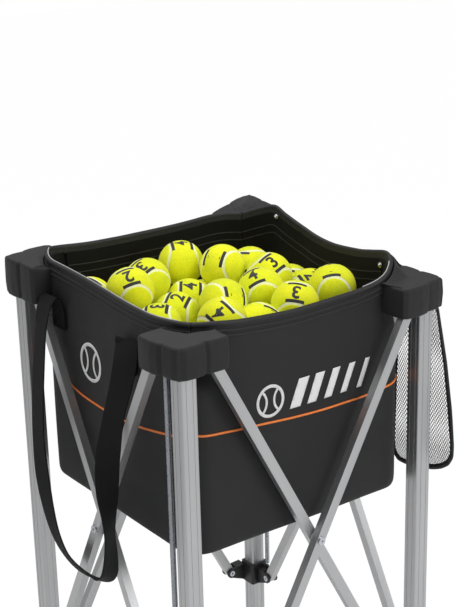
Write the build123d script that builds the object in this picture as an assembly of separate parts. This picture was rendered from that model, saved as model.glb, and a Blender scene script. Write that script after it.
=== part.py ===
from build123d import *
import os
from math import cos, radians, sin, sqrt

# Folding ball trolley: four square legs joined by scissor bars on each side, castors under the
# legs and a fabric bag of tennis balls hung between them. Millimetres, +Z up, origin on the floor
# under the middle of the frame. The front panel faces -Y and the left panel faces -X.

# ---- frame ----
leg_spacing = 402.0          # leg axis to leg axis with the frame open
leg_size = 25.0
leg_wall = 1.5
leg_corner = 3.0
leg_rise = 28.0              # from the top pivots up to the top of the legs
groove_width = 1.0
groove_depth = 0.4
groove_offset = 5.0          # from the middle of a leg's face
pivot_offset = 41.0          # leg axis to the bar pivots
top_pivot_z = 920.0
bar_length = 678.0           # pivot to pivot
bar_width = 14.5             # across the bar in the panel's plane
bar_depth = 12.0             # across the bar along the panel's normal
bar_wall = 1.4
inner_bar_back = -3.0        # back face of the inner bars, from the leg axis outwards
bar_gap = 3.0                # between the inner and the outer bar
pin_fit = 0.05               # radial clearance of a running pin
play = 0.3                   # clearance between faces that slide past each other
over = 1.0                   # how far a cut runs past the faces it opens

# ---- brackets and sliders ----
ear_thickness = 2.8
ear_radius = 8.5
hub_wall = 4.0
hub_corner = 4.0
bracket_drop = 8.0           # from the top pivots down to the bracket's lower edge
cap_thickness = 3.0
slider_drop = 20.0
slider_rise = 16.0
web_start = 14.0             # leg axis to where an arm leaves the hub
web_low = 6.0                # from a pivot to the edge of the arm at its hub
slot_depth = 1.0             # room behind a bar's end in its fork
rivet_radius = 3.0
rivet_bore = 1.6
rivet_head_radius = 5.0
rivet_head = 1.0
bolt_head_radius = 5.6
bolt_head = 3.0
hex_key = 4.0
spacer_radius = 7.0
nut_across = 10.0
nut_height = 4.0
eye_offset = 27.0            # spring eyes, along the arm from the leg axis
eye_plate = 3.0
eye_hole = 2.0
spring_plane = 8.0           # spring axis, from the leg axis outwards
spring_radius = 3.5
spring_wire = 1.1
top_eye_z = -12.0            # from the top pivots
low_eye_z = 14.0             # from the low pivots
eye_height = 8.0

# ---- castors ----
wheel_radius = 30.0
wheel_width = 18.0
tyre_thickness = 7.0
tyre_edge = 3.0
boss_radius = 8.0            # of the wheel's hub and of the fork's cheeks round the axle
dish_radius = 20.0
dish_depth = 1.5
hub_inset = 2.0              # of the wheel's disc from the tyre's sides
axle_radius = 3.0
axle_head = 2.0              # how far the axle's heads stand out, and how thick they are
trail = 20.0
cheek_thickness = 3.0
cheek_gap = 1.0
crown_clearance = 3.5
crown_thickness = 5.0
cheek_overlap = 1.0          # of the cheeks into the crown
crown_radius = 15.0
stem_radius = 5.0
stem_length = 26.0
stem_room = 2.0              # above the stem in its plug
plug_flange = 4.0
plug_length = 32.0
swivel_gap = 0.6
lever_pin = 1.8              # radius of the pedal's hinge pin
lever_barrel = 3.1
lever_lug = 1.5              # metal of the fork round the hinge pin, outside the barrel
lever_away = 3.6             # from the tyre out to the hinge pin
lever_angle = 53.47          # of the hinge pin above level, round the wheel's axle
lever_reach = 17.0           # hinge pin to the pedal's tip
lever_lift = 6.0
cam_width = 2.0
cam_reach = 0.7              # of the cam past the barrel
lever_thickness = 3.0

# ---- bag and what it carries ----
bag_clearance = 1.5          # from the bag to the legs
bag_bottom = 638.0
bag_rise = 14.0              # from the legs' top up to the rim
bag_wall = 3.0
bag_corner = 36.0
rim_corner = 90.0
shoulder_start = 92.0        # below the rim, where the bag's corners start to round off
shoulder_end = 57.0
board_thickness = 3.0
rim_height = 9.0
rim_proud = 2.0
piping_drop = 154.0          # below the rim
piping_radius = 1.4
ball_radius = 33.5
ball_wall = 3.5
ball_pitch = 70.0
ball_heap = 25.0             # how far the topmost balls may stand above the rim
sleeve_rise = 16.0           # above the legs' top
sleeve_drop = 12.0           # below the top pivots
sleeve_wall = 2.5
sleeve_gap = 1.0
wing_end = 58.0              # leg axis to the end of a sleeve's wing
strap_width = 33.0
strap_thickness = 2.5
strap_away = 9.5             # from the pivot bolts' heads out to the strap
strap_drop = 20.0            # below the top pivots
strap_length = 364.0
strap_rear_y = 133.0
strap_front_y = -60.0
pocket_away = 6.0            # from the outer bars out to the pocket
pocket_depth = 9.0
pocket_past = 27.0           # how far the pocket reaches forward of the front legs' axes
pocket_width = 124.0
pocket_height = 260.0
pocket_drop = 3.0            # below the sleeves
pocket_corner = 20.0
pocket_hem = 7.0
pocket_net = 1.2
stud_radius = 5.0
stud_height = 3.0

# ---- worked out from the above ----
leg_at = leg_spacing / 2
leg_top = top_pivot_z + leg_rise
span = leg_spacing - 2 * pivot_offset
rise = sqrt(bar_length ** 2 - span ** 2)
low_pivot_z = top_pivot_z - rise
mid_pivot_z = top_pivot_z - rise / 2
inner_bar = (inner_bar_back, inner_bar_back + bar_depth)
outer_bar = (inner_bar[1] + bar_gap, inner_bar[1] + bar_gap + bar_depth)
hub_half = leg_size / 2 + hub_wall
crown_z = 2 * wheel_radius + crown_clearance
leg_bottom = crown_z + crown_thickness + swivel_gap + plug_flange
bar_clear = ear_radius + slot_depth
lever_pin_x = trail + (wheel_radius + lever_away) * cos(radians(lever_angle))
lever_pin_z = wheel_radius + (wheel_radius + lever_away) * sin(radians(lever_angle))
lever_tip_x = lever_pin_x + lever_reach
lever_tip_z = lever_pin_z + lever_lift
bag_half = leg_at - leg_size / 2 - bag_clearance
bag_top = leg_top + bag_rise
shoulder_low = bag_top - shoulder_start
shoulder_high = bag_top - shoulder_end
piping_z = bag_top - piping_drop
layer_rise = sqrt(4 * ball_radius ** 2 - ball_pitch ** 2 / 2)
first_ball_z = bag_bottom + bag_wall + board_thickness + ball_radius
ball_layers = 1 + int((bag_top + ball_heap - ball_radius - first_ball_z) / layer_rise)
balls_per_row = 1 + int(2 * (bag_half - bag_wall - ball_radius) / ball_pitch)
sleeve_top = leg_top + sleeve_rise
sleeve_bottom = top_pivot_z - sleeve_drop
strap_outer = leg_at + outer_bar[1] + bolt_head + strap_away + strap_thickness
strap_top = top_pivot_z - strap_drop
strap_low = strap_top - strap_length
pocket_outer = leg_at + outer_bar[1] + pocket_away + pocket_depth
pocket_front = -leg_at - pocket_past
pocket_rear = pocket_front + pocket_width
pocket_top = sleeve_bottom - pocket_drop
pocket_bottom = pocket_top - pocket_height

corner_names = ["front_left", "front_right", "rear_right", "rear_left"]
side_names = ["front", "right", "rear", "left"]
braked = ["front_left", "front_right"]
sprung = ["front_left", "rear_right"]

# the front panel seen from outside: x to the right, y up, z outwards, zero at the leg axes
panel = Plane(origin=(0, -leg_at, 0), x_dir=(1, 0, 0), z_dir=(0, -1, 0))

os.makedirs("parts", exist_ok=True)


def save(name, *solids):
    found = []
    for item in solids:
        found += item.solids()
    export_step(Compound(label=name, children=found), f"parts/{name}.step")


def turned(shape, quarter):
    return Rot(0, 0, 90 * quarter) * shape


def block(x0, x1, y0, y1, z0, z1):
    return Pos((x0 + x1) / 2, (y0 + y1) / 2, (z0 + z1) / 2) * Box(x1 - x0, y1 - y0, z1 - z0)


def disc(x, y, radius, z0, z1):
    return Pos(x, y, (z0 + z1) / 2) * Cylinder(radius, z1 - z0)


def rounded_square(half, corner, z):
    return Pos(0, 0, z) * RectangleRounded(2 * half, 2 * half, corner)


# a slab on the front panel, from its outline and its span along the panel's normal
def slab(outline, n0, n1):
    return panel * (Pos(0, 0, n0) * extrude(outline, n1 - n0))


# an arm that leaves the hub towards +x on the front panel and ends in a fork round one bar
def arm(bar, root_low, root_high):
    n0 = bar[0] - play - ear_thickness
    n1 = bar[1] + play + ear_thickness
    root = Polyline((web_start, root_low), (web_start, root_high), (pivot_offset, ear_radius),
                    (pivot_offset, -ear_radius), close=True)
    outline = make_face(root) + Pos(pivot_offset, 0) * Circle(ear_radius)
    body = extrude(Pos(0, 0, n0) * outline, n1 - n0)
    slot = block(pivot_offset - bar_clear, pivot_offset + 2 * ear_radius, root_low - ear_radius,
                 root_high + ear_radius, bar[0] - play, bar[1] + play)
    hole = disc(pivot_offset, 0, rivet_radius, n0 - play, n1 + play)
    return body - slot - hole


def rivet(bar):
    n0 = bar[0] - play - ear_thickness
    n1 = bar[1] + play + ear_thickness
    shank = disc(pivot_offset, 0, rivet_radius, n0 - rivet_head, n1 + rivet_head)
    heads = disc(pivot_offset, 0, rivet_head_radius, n0 - rivet_head, n0)
    heads += disc(pivot_offset, 0, rivet_head_radius, n1, n1 + rivet_head)
    bore = disc(pivot_offset, 0, rivet_bore, n0 - 2 * rivet_head, n1 + 2 * rivet_head)
    return shank + heads - bore


# place a piece drawn round the leg axis on the panel that lies to the leg's right, or to its left
def on_right_panel(piece, z):
    return panel * (Pos(-leg_at, z, 0) * piece)


def on_left_panel(piece, z):
    mirrored = piece.mirror(Plane.YZ)
    return turned(panel * (Pos(leg_at, z, 0) * mirrored), -1)


def hub(bore_half, z0, z1):
    outer = extrude(Pos(-leg_at, -leg_at, z0) * RectangleRounded(2 * hub_half, 2 * hub_half, hub_corner),
                    z1 - z0)
    bore = extrude(Pos(-leg_at, -leg_at, z0) * RectangleRounded(2 * bore_half, 2 * bore_half, leg_corner),
                   z1 - z0)
    return outer - bore


# a plate with a hole that a spring's hook passes through, above or below an arm
def spring_eye(z, height):
    plate = block(eye_offset - eye_plate, eye_offset + eye_plate, min(z, z - height), max(z, z - height),
                  spring_plane - eye_plate / 2, spring_plane + eye_plate / 2)
    tip = disc(eye_offset, z, eye_plate, spring_plane - eye_plate / 2, spring_plane + eye_plate / 2)
    hole = disc(eye_offset, z, eye_hole, spring_plane - eye_plate, spring_plane + eye_plate)
    return plate + tip - hole


def make_leg():
    z0, z1 = leg_bottom, leg_top
    outline = Pos(-leg_at, -leg_at, z0) * RectangleRounded(leg_size, leg_size, leg_corner)
    inside = leg_size - 2 * leg_wall
    bore = Pos(-leg_at, -leg_at, z0) * RectangleRounded(inside, inside, leg_corner - leg_wall)
    tube = extrude(outline, z1 - z0) - extrude(bore, z1 - z0)
    for quarter in range(4):
        for side in (-1, 1):
            cut = block(side * groove_offset - groove_width / 2, side * groove_offset + groove_width / 2,
                        -leg_size / 2 - groove_depth, -leg_size / 2 + groove_depth, z0, z1)
            tube -= Pos(-leg_at, -leg_at, 0) * turned(cut, quarter)
    return tube


def make_bracket(has_spring):
    z0 = top_pivot_z - bracket_drop
    body = hub(leg_size / 2, z0, leg_top)
    cap = RectangleRounded(2 * hub_half, 2 * hub_half, hub_corner)
    body += extrude(Pos(-leg_at, -leg_at, leg_top) * cap, cap_thickness)
    body += on_right_panel(arm(inner_bar, -web_low, leg_rise), top_pivot_z) - leg_core(z0, leg_top)
    body += on_left_panel(arm(outer_bar, -web_low, leg_rise), top_pivot_z) - leg_core(z0, leg_top)
    if has_spring:
        body += on_left_panel(spring_eye(top_eye_z, -eye_height), top_pivot_z)
    return body


def leg_core(z0, z1):
    half = leg_size / 2
    return block(-leg_at - half, -leg_at + half, -leg_at - half, -leg_at + half, z0, z1)


def make_slider(has_spring):
    z0 = low_pivot_z - slider_drop
    z1 = low_pivot_z + slider_rise
    half = leg_size / 2 + play
    core = block(-leg_at - half, -leg_at + half, -leg_at - half, -leg_at + half, z0 - over, z1 + over)
    body = hub(half, z0, z1)
    body += on_right_panel(arm(outer_bar, -slider_drop, slider_rise - web_low), low_pivot_z) - core
    body += on_left_panel(arm(inner_bar, -slider_drop, slider_rise - web_low), low_pivot_z) - core
    if has_spring:
        body += on_left_panel(spring_eye(low_eye_z, eye_height), low_pivot_z)
    return body


# a hollow bar on the front panel between two pivots, with round ends
def make_bar(start, end, normals):
    sx, sz = start
    ex, ez = end
    tilt = Vector(ex - sx, ez - sz).get_angle(Vector(1, 0))
    if ez < sz:
        tilt = -tilt
    here = Pos((sx + ex) / 2, (sz + ez) / 2, normals[0]) * Rot(0, 0, tilt)
    body = extrude(SlotCenterToCenter(bar_length, bar_width), bar_depth)
    core = Pos(0, 0, bar_wall) * Box(2 * bar_length, bar_width - 2 * bar_wall, bar_depth - 2 * bar_wall,
                                     align=(Align.CENTER, Align.CENTER, Align.MIN))
    body -= core
    for x in (-bar_length / 2, 0, bar_length / 2):
        body -= disc(x, 0, rivet_radius + pin_fit, -over, bar_depth + over)
    return panel * (here * body)


# the bolt where two bars cross, the spacer between them and the nut behind
def make_pivot_bolt():
    back = inner_bar[0] - play
    front = outer_bar[1]
    head = disc(0, mid_pivot_z, bolt_head_radius, front, front + bolt_head)
    socket = extrude(Pos(0, mid_pivot_z, front + bolt_head / 2) * RegularPolygon(hex_key / 2, 6), bolt_head)
    shank = disc(0, mid_pivot_z, rivet_radius, back - nut_height - over, front)
    bolt = head + shank - socket
    hexagon = RegularPolygon(nut_across / 2, 6, major_radius=False)
    nut = extrude(Pos(0, mid_pivot_z, back - nut_height) * hexagon, nut_height)
    nut -= disc(0, mid_pivot_z, rivet_radius, back - nut_height - 2 * over, back + over)
    spacer = disc(0, mid_pivot_z, spacer_radius, inner_bar[1] + play, outer_bar[0])
    spacer -= disc(0, mid_pivot_z, rivet_radius, inner_bar[1], outer_bar[0] + over)
    return [panel * bolt, panel * nut, panel * spacer]


# a sprung pair of hooks with the coil between them drawn as a tube
def make_spring():
    low = low_pivot_z + low_eye_z
    high = top_pivot_z + top_eye_z
    ring = spring_radius - spring_wire / 2
    solids = []
    for z, way in ((low, 1), (high, -1)):
        hook = Torus(ring, spring_wire / 2, rotation=(90, 0, 0))
        solids.append(panel_left(hook, z + way * ring))
    coil_low = low + 2 * ring
    coil_high = high - 2 * ring
    coil = Cylinder(spring_radius, coil_high - coil_low) - Cylinder(spring_radius - spring_wire,
                                                                    coil_high - coil_low)
    solids.append(panel_left(coil, (coil_low + coil_high) / 2))
    return solids


def panel_left(piece, z):
    return Pos(-leg_at - spring_plane, -leg_at + eye_offset, z) * piece


# ---- castors, drawn under the front left leg ----
def make_plug():
    z0 = leg_bottom - plug_flange
    inside = leg_size - 2 * leg_wall
    body = extrude(Pos(0, 0, z0) * RectangleRounded(leg_size, leg_size, leg_corner), plug_flange)
    shank = RectangleRounded(inside, inside, leg_corner - leg_wall)
    body += extrude(Pos(0, 0, leg_bottom) * shank, plug_length)
    body -= disc(0, 0, stem_radius + pin_fit, z0 - over, z0 + stem_length + stem_room)
    return Pos(-leg_at, -leg_at, 0) * body


def make_fork(has_brake):
    crown = disc(0, 0, crown_radius, crown_z, crown_z + crown_thickness)
    inner = wheel_width / 2 + cheek_gap
    outer = inner + cheek_thickness
    crown += block(0, trail, -outer, outer, crown_z, crown_z + crown_thickness)
    crown += disc(trail, 0, outer, crown_z, crown_z + crown_thickness)
    body = crown + disc(0, 0, stem_radius, crown_z, crown_z + crown_thickness + swivel_gap + stem_length)
    cheek_top = crown_z + cheek_overlap
    side = make_face(Polyline((-boss_radius, cheek_top), (trail + crown_radius, cheek_top),
                              (trail + boss_radius, wheel_radius), (trail - boss_radius, wheel_radius),
                              close=True))
    side += Pos(trail, wheel_radius) * Circle(boss_radius)
    if has_brake:
        side += Pos(lever_pin_x, lever_pin_z) * Circle(lever_barrel + lever_lug)
        side += make_face(Polyline((trail, cheek_top), (trail + crown_radius, cheek_top),
                                   (lever_pin_x + lever_barrel, lever_pin_z), (trail, wheel_radius),
                                   close=True))
    for y in (-outer, inner):
        body += Pos(0, y + cheek_thickness, 0) * Rot(90, 0, 0) * extrude(side, cheek_thickness)
    hole = Pos(trail, 0, wheel_radius) * Rot(90, 0, 0) * Cylinder(axle_radius, 4 * outer)
    axle = Pos(trail, 0, wheel_radius) * Rot(90, 0, 0) * Cylinder(axle_radius, 2 * outer)
    for y in (-outer - axle_head / 2, outer + axle_head / 2):
        axle += Pos(trail, y, wheel_radius) * Rot(90, 0, 0) * Cylinder(axle_radius + axle_head, axle_head)
    body -= hole
    if has_brake:
        body -= Pos(lever_pin_x, 0, lever_pin_z) * Rot(90, 0, 0) * Cylinder(lever_pin + pin_fit, 4 * outer)
    return [Pos(-leg_at, -leg_at, 0) * body, Pos(-leg_at, -leg_at, 0) * axle]


def make_wheel():
    rim = wheel_radius - tyre_thickness
    tyre = Cylinder(wheel_radius, wheel_width) - Cylinder(rim, wheel_width)
    tyre = fillet(tyre.edges().filter_by(GeomType.CIRCLE).group_by(SortBy.RADIUS)[-1], tyre_edge)
    hub_body = Cylinder(rim, wheel_width - 2 * hub_inset)
    for side in (-1, 1):
        dish = Cylinder(dish_radius, 2 * dish_depth) - Cylinder(boss_radius, 2 * dish_depth)
        hub_body -= Pos(0, 0, side * (wheel_width / 2 - hub_inset)) * dish
    hub_body += Cylinder(boss_radius, wheel_width + cheek_gap)
    hub_body -= Cylinder(axle_radius + pin_fit, 2 * wheel_width)
    here = Pos(-leg_at + trail, -leg_at, wheel_radius) * Rot(90, 0, 0)
    return [here * tyre, here * hub_body]


# the brake pedal behind a wheel, with a cam that meets the tyre when it is pressed
def make_lever():
    inner = wheel_width / 2 + cheek_gap - play
    outer = wheel_width / 2 + cheek_gap + cheek_thickness
    plate = make_face(Polyline((lever_pin_x, lever_pin_z + lever_thickness), (lever_tip_x, lever_tip_z),
                               (lever_tip_x, lever_tip_z - lever_thickness),
                               (lever_pin_x, lever_pin_z - over), close=True))
    plate += Pos(lever_pin_x, lever_pin_z) * Circle(lever_barrel)
    cam = Rectangle(cam_width, lever_barrel + cam_reach)
    plate += Pos(lever_pin_x, lever_pin_z - lever_barrel / 2) * cam
    body = Pos(0, inner, 0) * Rot(90, 0, 0) * extrude(plate, 2 * inner)
    body += Pos(lever_pin_x, 0, lever_pin_z) * Rot(90, 0, 0) * Cylinder(lever_pin, 2 * outer)
    return Pos(-leg_at, -leg_at, 0) * body


# ---- bag ----
def bag_form(offset, z0, z1):
    low = rounded_square(bag_half - offset, bag_corner - offset, z0)
    body = extrude(low, shoulder_low - z0)
    lower = rounded_square(bag_half - offset, bag_corner - offset, shoulder_low)
    upper = rounded_square(bag_half - offset, rim_corner - offset, shoulder_high)
    body += loft([lower, upper])
    body += extrude(upper, z1 - shoulder_high)
    return body


def make_bag():
    return bag_form(0, bag_bottom, bag_top) - bag_form(bag_wall, bag_bottom + bag_wall, bag_top + over)


def make_ring(half, corner, wide, z0, z1):
    outer = extrude(rounded_square(half + wide, corner + wide, z0), z1 - z0)
    return outer - extrude(rounded_square(half, corner, z0), z1 - z0)


def make_board():
    z0 = bag_bottom + bag_wall
    half = bag_half - bag_wall - play
    return extrude(rounded_square(half, bag_corner, z0), board_thickness)


# balls in staggered square layers; the top layer leaves the rounded corners of the rim free
def make_balls():
    balls = []
    for layer in range(ball_layers):
        count = balls_per_row - layer % 2
        edge = (count - 1) / 2 * ball_pitch
        z = first_ball_z + layer * layer_rise
        for row in range(count):
            for column in range(count):
                at_corner = row in (0, count - 1) and column in (0, count - 1)
                if at_corner and count == balls_per_row and z + ball_radius > shoulder_high:
                    continue
                x = -edge + column * ball_pitch
                y = -edge + row * ball_pitch
                balls.append(Pos(x, y, z) * (Sphere(ball_radius) - Sphere(ball_radius - ball_wall)))
    return balls


# ---- corner sleeves: a cap over the bracket with a wing along each panel, open below ----
def make_sleeve():
    hub_room = hub_half + sleeve_gap
    inner_room = inner_bar[1] + play + ear_thickness + rivet_head + sleeve_gap
    outer_room = outer_bar[1] + play + ear_thickness + rivet_head + sleeve_gap
    back_room = play + ear_thickness + rivet_head + sleeve_gap - inner_bar[0]

    def form(grow, z0, z1):
        body = block(-hub_room - grow, hub_room + grow, -hub_room - grow, hub_room + grow, z0, z1)
        body += block(0, wing_end - sleeve_wall + grow, -inner_room - grow, back_room + grow, z0, z1)
        body += block(-outer_room - grow, back_room + grow, 0, wing_end - sleeve_wall + grow, z0, z1)
        return body

    body = form(sleeve_wall, sleeve_bottom, sleeve_top)
    # the fabric over the corner between the two wings, up to the bag
    web = block(0, wing_end, 0, wing_end, sleeve_top - sleeve_wall, sleeve_top)
    body = Pos(-leg_at, -leg_at, 0) * (body + web)
    body -= Pos(-leg_at, -leg_at, 0) * form(0, sleeve_bottom - over, leg_top + cap_thickness + sleeve_gap)
    # room for the bars where they come out below the wings
    lift = top_pivot_z + over
    mouth = (wing_end - 2 * sleeve_wall, wing_end + over)
    body -= Pos(-leg_at, -leg_at, 0) * block(*mouth, -inner_room, back_room, sleeve_bottom - over, lift)
    body -= Pos(-leg_at, -leg_at, 0) * block(-outer_room, back_room, *mouth, sleeve_bottom - over, lift)
    keep_out = bag_half + rim_proud + play
    body -= extrude(rounded_square(keep_out, rim_corner + rim_proud + play, sleeve_bottom - over),
                    2 * (sleeve_top - sleeve_bottom))
    return body


# ---- carry strap on the left and net pocket on the right ----
def make_strap():
    x0 = -strap_outer
    mid = (strap_rear_y + strap_front_y) / 2
    reach = (strap_rear_y - strap_front_y) / 2
    half = strap_width / 2
    low = strap_low + reach + half
    outer = Pos(mid, low) * Circle(reach + half)
    inner = Pos(mid, low) * Circle(reach - half)
    bend = outer - inner - Pos(mid, low + 2 * reach) * Rectangle(6 * reach, 4 * reach)
    for y in (strap_rear_y, strap_front_y):
        bend += Pos(y, (low + strap_top) / 2) * Rectangle(strap_width, strap_top - low)
    return Plane.YZ.offset(x0) * extrude(bend, strap_thickness)


def make_pocket():
    x0 = pocket_outer - pocket_depth
    z_mid = (pocket_bottom + pocket_top) / 2
    y_mid = (pocket_front + pocket_rear) / 2
    wide = pocket_rear - pocket_front
    tall = pocket_top - pocket_bottom
    outline = Pos(y_mid, z_mid) * RectangleRounded(wide, tall, pocket_corner)
    window = Pos(y_mid, z_mid) * RectangleRounded(wide - 2 * pocket_hem, tall - 2 * pocket_hem,
                                                  pocket_corner - pocket_hem)
    hem = Plane.YZ.offset(x0) * extrude(outline - window, pocket_depth)
    faces = []
    for x in (x0, pocket_outer - pocket_net):
        faces.append(Plane.YZ.offset(x) * extrude(window, pocket_net))
    mouth = block(x0 + pocket_net, pocket_outer - pocket_net, pocket_front + pocket_hem,
                  pocket_rear - pocket_hem, pocket_top - 2 * pocket_hem, pocket_top + over)
    return hem - mouth + faces[0] + faces[1]


# snap studs on the inside of the rim at the ends of the right side
def make_studs():
    x0 = bag_half - bag_wall - stud_height
    studs = []
    for y in (-1, 1):
        stud = Rot(0, 90, 0) * extrude(RegularPolygon(stud_radius, 6), stud_height)
        studs.append(Pos(x0, y * (bag_half - rim_corner - stud_radius), bag_top - 2 * stud_radius) * stud)
    return studs


# ---- write every node ----
for quarter, corner in enumerate(corner_names):
    spring_here = corner in sprung
    brake_here = corner in braked
    save(f"leg_{corner}", turned(make_leg(), quarter))
    save(f"top_bracket_{corner}", turned(make_bracket(spring_here), quarter))
    save(f"slider_{corner}", turned(make_slider(spring_here), quarter))
    save(f"corner_sleeve_{corner}", turned(make_sleeve(), quarter))
    save(f"bracket_rivets_{corner}",
         turned(on_right_panel(rivet(inner_bar), top_pivot_z), quarter),
         turned(on_left_panel(rivet(outer_bar), top_pivot_z), quarter))
    save(f"slider_rivets_{corner}",
         turned(on_right_panel(rivet(outer_bar), low_pivot_z), quarter),
         turned(on_left_panel(rivet(inner_bar), low_pivot_z), quarter))
    save(f"leg_plug_{corner}", turned(make_plug(), quarter))
    save(f"castor_fork_{corner}", *[turned(piece, quarter) for piece in make_fork(brake_here)])
    save(f"castor_wheel_{corner}", *[turned(piece, quarter) for piece in make_wheel()])
    if brake_here:
        save(f"brake_lever_{corner}", turned(make_lever(), quarter))
    if spring_here:
        save(f"spring_{corner}", *[turned(piece, quarter) for piece in make_spring()])

for quarter, side in enumerate(side_names):
    low_right = (span / 2, low_pivot_z)
    low_left = (-span / 2, low_pivot_z)
    top_left = (-span / 2, top_pivot_z)
    top_right = (span / 2, top_pivot_z)
    save(f"bar_{side}_inner", turned(make_bar(top_left, low_right, inner_bar), quarter))
    save(f"bar_{side}_outer", turned(make_bar(low_left, top_right, outer_bar), quarter))
    save(f"pivot_bolt_{side}", *[turned(piece, quarter) for piece in make_pivot_bolt()])

save("bag_shell", make_bag())
save("base_board", make_board())
save("rim_binding", make_ring(bag_half, rim_corner, rim_proud, bag_top - rim_height, bag_top))
save("orange_piping", make_ring(bag_half, bag_corner, piping_radius, piping_z - piping_radius,
                                piping_z + piping_radius))
save("tennis_balls", *make_balls())
save("carry_strap", make_strap())
save("mesh_pocket", make_pocket())
save("snap_studs", *make_studs())
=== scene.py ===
from math import cos, hypot, pi, radians, sin, sqrt
from random import Random

import bmesh
import bpy
from mathutils import Euler, Matrix, Quaternion, Vector, noise


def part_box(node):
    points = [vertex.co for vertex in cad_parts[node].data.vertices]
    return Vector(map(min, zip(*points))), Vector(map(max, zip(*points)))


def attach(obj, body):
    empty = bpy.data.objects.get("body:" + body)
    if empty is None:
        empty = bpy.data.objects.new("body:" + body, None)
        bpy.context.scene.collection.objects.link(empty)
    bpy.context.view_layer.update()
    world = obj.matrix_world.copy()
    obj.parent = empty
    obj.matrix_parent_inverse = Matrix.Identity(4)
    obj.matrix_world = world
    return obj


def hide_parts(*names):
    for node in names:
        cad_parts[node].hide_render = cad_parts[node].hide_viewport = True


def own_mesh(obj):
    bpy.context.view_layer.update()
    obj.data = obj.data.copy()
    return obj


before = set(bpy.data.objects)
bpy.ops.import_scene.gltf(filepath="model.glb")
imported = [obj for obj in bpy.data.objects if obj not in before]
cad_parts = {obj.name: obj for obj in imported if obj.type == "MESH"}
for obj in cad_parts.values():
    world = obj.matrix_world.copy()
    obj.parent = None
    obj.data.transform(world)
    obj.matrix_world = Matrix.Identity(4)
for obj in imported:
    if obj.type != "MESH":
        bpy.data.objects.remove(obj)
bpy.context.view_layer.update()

mm = 0.001                                   # shapes are worked out in millimetres and stored in metres

# places that the frame gives, in millimetres
legLow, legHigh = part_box("leg_front_left")
legAt = -(legLow.x + legHigh.x) / 2 / mm     # frame centre to a leg's axis
bagLow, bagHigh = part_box("bag_shell")
bagHalf = bagHigh.x / mm
bagFloor = bagLow.z / mm
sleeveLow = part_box("corner_sleeve_front_left")[0]
hemZ = sleeveLow.z / mm                      # lower edge of the corner sleeves; heights below are above it

corners = ["front_left", "front_right", "rear_right", "rear_left"]
sides = ["front", "right", "rear", "left"]
cornerBodies = ["stand", "leg_front_right", "leg_rear_right", "leg_rear_left"]
sideBodies = ["stand", "leg_front_right", "leg_rear_left", "stand"]


# small helpers
def turned(point, quarter):
    return Matrix.Rotation(quarter * pi / 2, 3, "Z") @ Vector(point)


# a smooth curve through given stops, each (where, value)
def through(stops, where):
    if where <= stops[0][0]:
        return stops[0][1]
    for index in range(len(stops) - 1):
        x0, y0 = stops[index]
        x1, y1 = stops[index + 1]
        if where <= x1:
            before = stops[max(index - 1, 0)]
            after = stops[min(index + 2, len(stops) - 1)]
            slope0 = (y1 - before[1]) / (x1 - before[0])
            slope1 = (after[1] - y0) / (after[0] - x0)
            t = (where - x0) / (x1 - x0)
            span = x1 - x0
            return ((2 * t**3 - 3 * t**2 + 1) * y0 + (t**3 - 2 * t**2 + t) * span * slope0
                    + (3 * t**2 - 2 * t**3) * y1 + (t**3 - t**2) * span * slope1)
    return stops[-1][1]


def eased(t):
    t = min(max(t, 0.0), 1.0)
    return t * t * (3 - 2 * t)


# a grid whose points are moved by place(across, up), both from 0 to 1, with those as its cloth map
def mappedGrid(columns, rows, place, mapSize=(1, 1)):
    made = bmesh.new()
    bmesh.ops.create_grid(made, x_segments=columns, y_segments=rows, size=1)
    clothMap = made.loops.layers.uv.new("cloth")
    for face in made.faces:
        for loop in face.loops:
            across, up = (loop.vert.co.x + 1) / 2, (loop.vert.co.y + 1) / 2
            loop[clothMap].uv = (across * mapSize[0], up * mapSize[1])
    for vert in made.verts:
        vert.co = place((vert.co.x + 1) / 2, (vert.co.y + 1) / 2)
    return made


# a closed tube round a path: centre(share) gives the point and the two half-axes of its section
def mappedTube(steps, around, centre, mapSize=(1, 1), closed=False):
    def place(along, turn):
        middle, first, second = centre(along)
        angle = 2 * pi * turn
        return Vector(middle) + Vector(first) * cos(angle) + Vector(second) * sin(angle)

    made = mappedGrid(steps, around, place, mapSize)
    bmesh.ops.remove_doubles(made, verts=made.verts, dist=0.01)
    if not closed:
        bmesh.ops.holes_fill(made, edges=[edge for edge in made.edges if edge.is_boundary])
    bmesh.ops.recalc_face_normals(made, faces=made.faces)
    return made


def finishPiece(name, made, material, thickness=0.0, levels=0, bevel=0.0, smooth=True):
    bmesh.ops.scale(made, vec=(mm, mm, mm), verts=made.verts)
    data = bpy.data.meshes.new(name)
    made.to_mesh(data)
    made.free()
    piece = bpy.data.objects.new(name, data)
    bpy.context.scene.collection.objects.link(piece)
    for polygon in data.polygons:
        polygon.use_smooth = smooth
    if thickness:
        wall = piece.modifiers.new("wall", "SOLIDIFY")
        wall.thickness = thickness * mm
        wall.offset = -1
    if bevel:
        edge = piece.modifiers.new("edge", "BEVEL")
        edge.width = bevel * mm
        edge.segments = 2
        edge.limit_method = "ANGLE"
    if levels:
        rounder = piece.modifiers.new("rounder", "SUBSURF")
        rounder.levels = levels
        rounder.render_levels = levels
    data.materials.append(material)
    return piece


# what folds with one side of the bag
def foldsWithSide(piece, side):
    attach(piece, sideBodies[side])
    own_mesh(piece)


# what is carried by the stand
def gathersFrom(piece, x, y):
    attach(piece, "stand")
    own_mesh(piece)


# finishes
def newFinish(name, colour, roughness, metallic=0.0):
    finish = bpy.data.materials.new(name)
    finish.use_nodes = True
    shader = finish.node_tree.nodes["Principled BSDF"]
    shader.inputs["Base Color"].default_value = (*colour, 1)
    shader.inputs["Roughness"].default_value = roughness
    shader.inputs["Metallic"].default_value = metallic
    return finish, finish.node_tree, shader


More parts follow.
